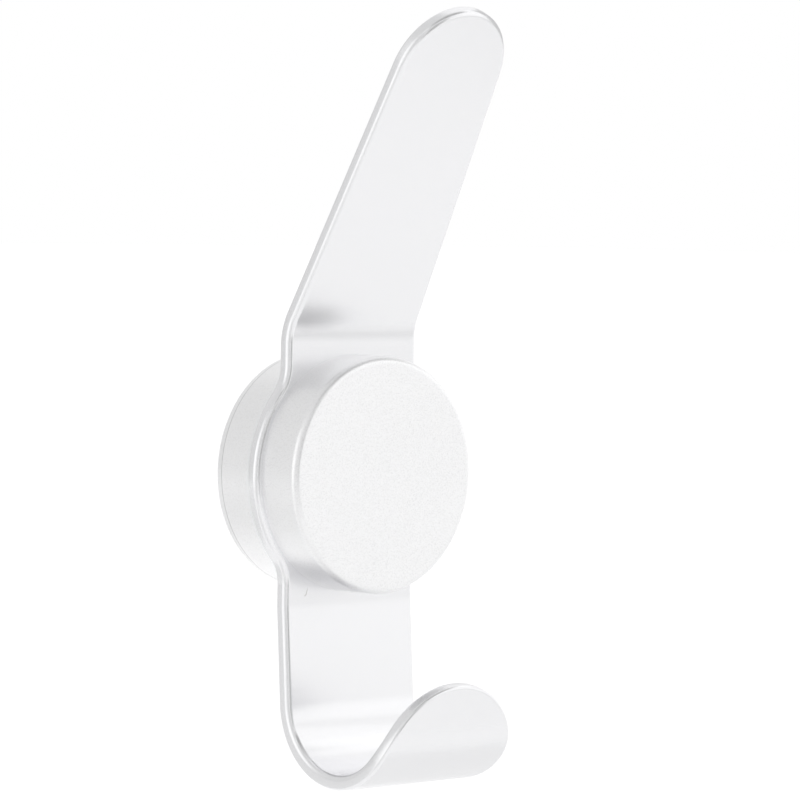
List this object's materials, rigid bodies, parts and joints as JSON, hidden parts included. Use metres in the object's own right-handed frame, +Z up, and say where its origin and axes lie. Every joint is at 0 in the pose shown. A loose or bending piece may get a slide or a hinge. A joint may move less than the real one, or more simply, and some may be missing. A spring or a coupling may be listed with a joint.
{
  "type": "double wall hook",
  "caption": "Satin silver wall hook: a bent metal leaf with a tapering upper arm and a lower J hook, clamped between a round wall base and a round front cap.",
  "frame": {"origin": "centre of the base's flat back, on the wall's face", "axes": "+Z up along the hook, +Y into the wall, +X to the right as seen by someone facing the wall; the hooks reach out along -Y"},
  "size_m": [0.0426, 0.0398, 0.1295],
  "materials": {
    "puck_satin": "satin silver with a fine matt grain",
    "leaf_satin": "smooth satin silver",
    "stud_steel": "plain machined"
  },
  "bodies": {
    "root": {"wall_base": "puck_satin", "front_cap": "puck_satin", "hook_strip": "leaf_satin", "clamp_stud": "stud_steel"}
  },
  "joints": []
}
